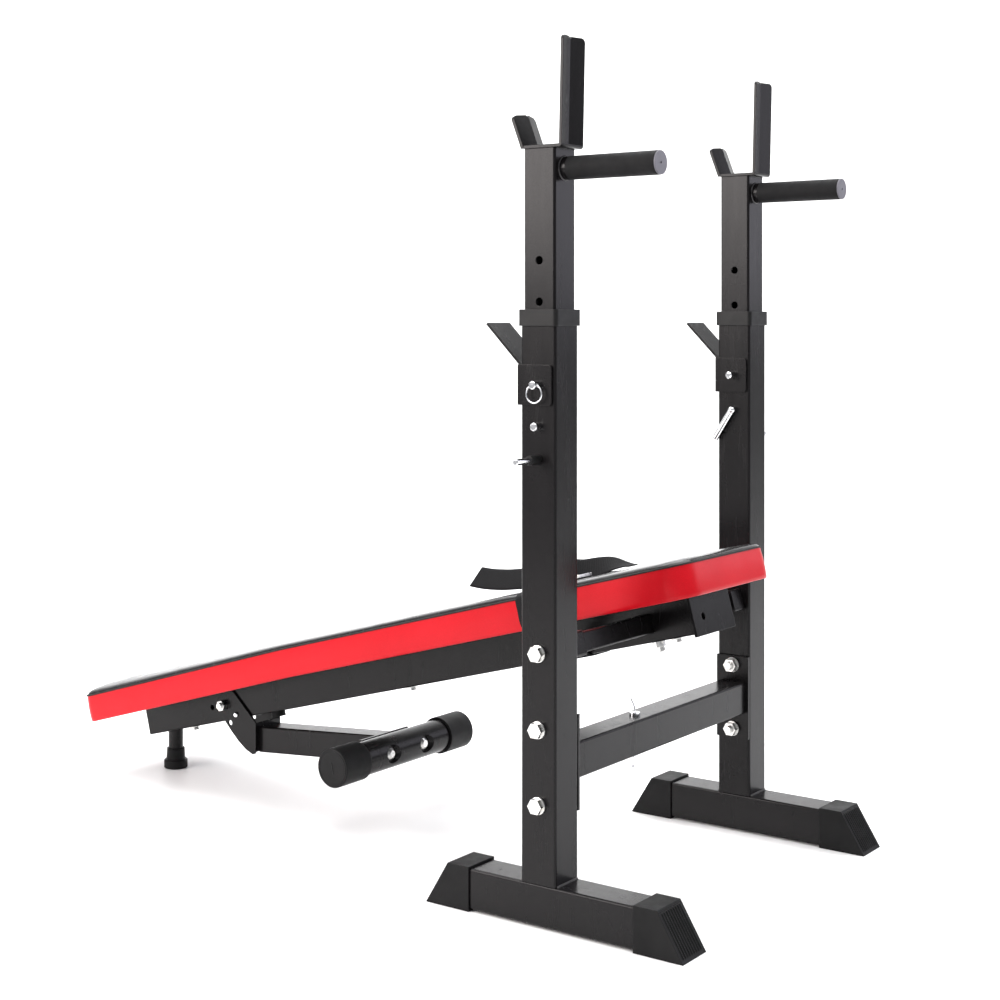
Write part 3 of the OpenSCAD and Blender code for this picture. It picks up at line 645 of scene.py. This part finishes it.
def box_prism(name, size, matrix, look, soften=0.0006):
    mesh = bpy.data.meshes.new(name)
    bm = bmesh.new()
    bmesh.ops.create_cube(bm, size=1.0)
    bmesh.ops.scale(bm, vec=size, verts=bm.verts)
    bmesh.ops.bevel(bm, geom=bm.edges[:], offset=soften, segments=2, affect="EDGES")
    bm.transform(matrix)
    bm.to_mesh(mesh)
    bm.free()
    obj = bpy.data.objects.new(name, mesh)
    mesh.materials.append(look)
    bpy.context.scene.collection.objects.link(obj)
    return obj


def cap_ribs():
    """Raised ribs that run down the slanted end of each foot cap."""
    cap_tall = 55 * MM
    slant = 34 * MM
    lean = math.atan2(slant, cap_tall)
    length = math.hypot(slant, cap_tall) - 9 * MM
    count = 9
    pitch = 5.2 * MM
    for side, name in ((-1, "right"), (1, "left")):
        low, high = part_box("foot_caps_" + name)
        for direction, tip in ((1, high[0]), (-1, low[0])):
            for k in range(count):
                y = side * HALF_SPACING + (k - (count - 1) / 2) * pitch
                middle = Vector((tip - direction * slant / 2, y, cap_tall / 2))
                turn = Matrix.Rotation(-direction * lean, 4, "Y")
                place = Matrix.Translation(middle) @ turn
                rib = box_prism(
                    f"cap_rib_{name}_{'front' if direction > 0 else 'back'}_{k}",
                    (2.2 * MM, 2.4 * MM, length),
                    place,
                    MATS["rubber"],
                )
                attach(rib, "rack")


cap_ribs()


def weld_run(name, start, end, out, body, radius=2.0 * MM):
    """Rippled weld bead between two points; out is the direction it swells towards."""
    length = (end - start).length
    steps = max(8, int(length / (1.1 * MM)))
    path = [start.lerp(end, k / steps) for k in range(steps + 1)]
    rings = tube_along(path, radius, 8)
    for i, ring in enumerate(rings):
        ripple = 1 + 0.16 * math.sin(i * 2.1) + 0.10 * noise.noise(path[i] * 300)
        taper = smoothstep(min(i, steps - i) / 2)
        for k, p in enumerate(ring):
            ring[k] = path[i] + (p - path[i]) * ripple * max(taper, 0.25) + out * (0.1 * MM)
    verts, faces = loft(rings, True, True)
    obj = add_mesh(name, verts, faces, MATS["weld"], True)
    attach(obj, body)


def weld_runs():
    foot_top = 52.5 * MM
    half = 25 * MM
    reach = 21 * MM
    for side, name in ((-1, "right"), (1, "left")):
        centre = Vector((TILT.x, side * HALF_SPACING, foot_top))
        for direction in (-1, 1):
            a = centre + Vector((direction * half, -reach, 0))
            b = centre + Vector((direction * half, reach, 0))
            weld_run(f"foot_weld_{name}_{direction + 1}", a, b, Vector((direction, 0, 0.5)), "rack")
        a = Vector((TILT.x + 22.5 * MM, side * HALF_SPACING, 0.914))
        turns = [k * math.pi / 24 for k in range(48)]
        around = [a + 14.3 * MM * Vector((0, math.cos(t), math.sin(t))) for t in turns]
        rings = tube_along(around, 1.3 * MM, 6, True)
        verts, faces = loft(rings)
        obj = add_mesh(f"handle_weld_{name}", verts, faces, MATS["weld"], True)
        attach(obj, f"post_tube_{name}")
        for direction, edge in ((-1, -22 * MM), (1, 29 * MM)):
            top = 0.938
            a = Vector((TILT.x + direction * 22.0 * MM, side * HALF_SPACING - 19 * MM, top - 0.3 * MM))
            b = Vector((TILT.x + direction * 22.0 * MM, side * HALF_SPACING + 19 * MM, top - 0.3 * MM))
            across = Vector((direction, 0, 0))
            weld_run(f"hook_weld_{name}_{direction + 1}", a, b, across, f"post_tube_{name}", 1.1 * MM)
    half_spine = 25 * MM
    for y in (-1, 1):
        a = BENCH @ Vector((85.6 * MM, y * half_spine, -20 * MM))
        b = BENCH @ Vector((85.6 * MM, y * half_spine, 20 * MM))
        weld_run(f"plate_weld_{y + 1}", a, b, Vector((0, y, 0)), "bench", 1.6 * MM)


weld_runs()


def hole_strips():
    """Walls with round lock holes that show when a telescoping tube is drawn out of its post."""
    half = 22.5 * MM
    width = 10.9 * MM
    hole_r = 5.08 * MM
    sink = 0.75 * MM
    for side, name in ((-1, "right"), (1, "left")):
        for face in (-1, 1):
            curve = bpy.data.curves.new(f"hole_strip_{name}_{face + 1}", "CURVE")
            curve.dimensions = "2D"
            curve.fill_mode = "BOTH"
            curve.extrude = 0.7 * MM
            low, high = 0.591, 0.741
            corners = [(-width / 2, low), (width / 2, low), (width / 2, high), (-width / 2, high)]
            outline = curve.splines.new("POLY")
            outline.points.add(3)
            for point, (x, z) in zip(outline.points, corners):
                point.co = (x, z, 0, 1)
            outline.use_cyclic_u = True
            for z in (0.603, 0.653, 0.703):
                steps = 32
                hole = curve.splines.new("POLY")
                hole.points.add(steps - 1)
                for k, point in enumerate(hole.points):
                    t = 2 * math.pi * k / steps
                    point.co = (hole_r * math.cos(t), z + hole_r * math.sin(t), 0, 1)
                hole.use_cyclic_u = True
            obj = bpy.data.objects.new(curve.name, curve)
            curve.materials.append(MATS["frame"])
            bpy.context.scene.collection.objects.link(obj)
            place = Vector((TILT.x, side * HALF_SPACING + face * (half - sink), 0))
            obj.matrix_world = Matrix.Translation(place) @ Matrix.Rotation(math.radians(90), 4, "X")
            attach(obj, f"post_tube_{name}")


hole_strips()


def thread_ends():
    """Fine thread turns on the bolt ends that stand out of their nuts."""
    for side, name in ((-1, "right"), (1, "left")):
        for z in (0.1475, 0.2385):
            inner = HALF_SPACING - 25 * MM - 4 * MM - 2 * MM - 8 * MM
            span = 4.6 * MM
            turns = 4
            steps = 24
            path = []
            for k in range(turns * steps + 1):
                t = 2 * math.pi * k / steps
                y = inner - 0.3 * MM - span * k / (turns * steps)
                path.append(Vector((TILT.x + 4.9 * MM * math.cos(t), side * y, z + 4.9 * MM * math.sin(t))))
            verts, faces = loft(tube_along(path, 0.45 * MM, 5), True, True)
            obj = add_mesh(f"thread_{name}_{round(z * 1000)}", verts, faces, MATS["zinc"], True)
            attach(obj, "rack")


thread_ends()


def cap_slits():
    """Moulded slit and rim on the foot bar's end caps."""
    low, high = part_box("foot_bar_caps")
    middle = (Vector(low) + Vector(high)) / 2
    for side, y in ((-1, low[1]), (1, high[1])):
        lean = Matrix.Rotation(math.radians(-14), 4, "Y")
        place = Matrix.Translation(Vector((middle.x, y, middle.z))) @ lean
        slit = box_prism(f"cap_slit_{side + 1}", (1.6 * MM, 1.0 * MM, 17 * MM), place, MATS["thread"], 0.0003)
        rim_middle = Vector((middle.x, y - side * 0.2 * MM, middle.z))
        turns = [k * math.pi / 32 for k in range(64)]
        rim = [rim_middle + 24 * MM * Vector((math.cos(t), 0, math.sin(t))) for t in turns]
        verts, faces = loft(tube_along(rim, 0.8 * MM, 6, True))
        ring = add_mesh(f"cap_rim_{side + 1}", verts, faces, MATS["rubber"], True)
        for obj in (slit, ring):
            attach(obj, "leg")


cap_slits()


# ---------------------------------------------------------------- stage


def build_stage():
    mesh = bpy.data.meshes.new("sweep")
    rings = []
    half = 9.0
    back = 3.2
    profile = [(-7.0, 0.0), (back, 0.0)]
    bend = 2.2
    for k in range(1, 17):
        t = math.radians(90 * k / 16)
        profile.append((back + bend * math.sin(t), bend - bend * math.cos(t)))
    profile.append((back + bend, 7.0))
    for y, z in profile:
        rings.append([Vector((-half, y, z - 0.0004)), Vector((half, y, z - 0.0004))])
    verts, faces = loft(rings, False)
    turn = Matrix.Rotation(math.radians(36.7), 4, "Z")
    mesh.from_pydata([tuple(turn @ v) for v in verts], [], faces)
    mesh.shade_smooth()
    mesh.materials.append(floor_paper())
    sweep = bpy.data.objects.new("sweep", mesh)
    bpy.context.scene.collection.objects.link(sweep)
    sweep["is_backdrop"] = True


build_stage()


def area_light(name, place, aim, size, power, tint=(1, 1, 1)):
    data = bpy.data.lights.new(name, "AREA")
    data.shape = "RECTANGLE"
    data.size, data.size_y = size
    data.energy = power
    data.color = tint
    obj = bpy.data.objects.new(name, data)
    obj.location = place
    obj.rotation_euler = (Vector(aim) - Vector(place)).to_track_quat("-Z", "Y").to_euler()
    bpy.context.scene.collection.objects.link(obj)
    return obj


area_light("key", (-1.5, -2.7, 1.75), (0.3, 0, 1.1), (2.0, 1.7), 125, (1.0, 0.94, 0.92))
area_light("side", (2.3, 2.3, 1.65), (0.4, 0, 1.0), (2.0, 1.8), 24, (0.90, 0.88, 1.0))
area_light("top", (0.2, 0.4, 3.6), (0.1, 0.2, 0), (5.0, 5.0), 300)
area_light("wall", (-1.4, 1.6, 4.4), (-3.0, 4.2, 1.0), (4.0, 1.6), 190)

world = bpy.data.worlds.new("studio")
bpy.context.scene.world = world
world.use_nodes = True
world.node_tree.nodes["Background"].inputs["Color"].default_value = (0.96, 0.97, 1.0, 1)
world.node_tree.nodes["Background"].inputs["Strength"].default_value = 0.5
bpy.context.scene.view_settings.view_transform = "Standard"

AZIMUTH = math.radians(36.74)
camera_data = bpy.data.cameras.new("camera")
camera_data.sensor_width = 36
camera_data.lens = 62.48
camera_data.shift_x = 0.0478
camera_data.shift_y = -0.1774
camera = bpy.data.objects.new("camera", camera_data)
camera.location = (TILT.x + 1.1647, -2.0088, 0.728)
aim = Vector((-math.sin(AZIMUTH), math.cos(AZIMUTH), 0))
camera.rotation_euler = aim.to_track_quat("-Z", "Y").to_euler()
bpy.context.scene.collection.objects.link(camera)
bpy.context.scene.camera = camera

sizes = {"cad": cad_bounds, "visual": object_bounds()}
sizes = {name: [list(map(float, corner)) for corner in box] for name, box in sizes.items()}
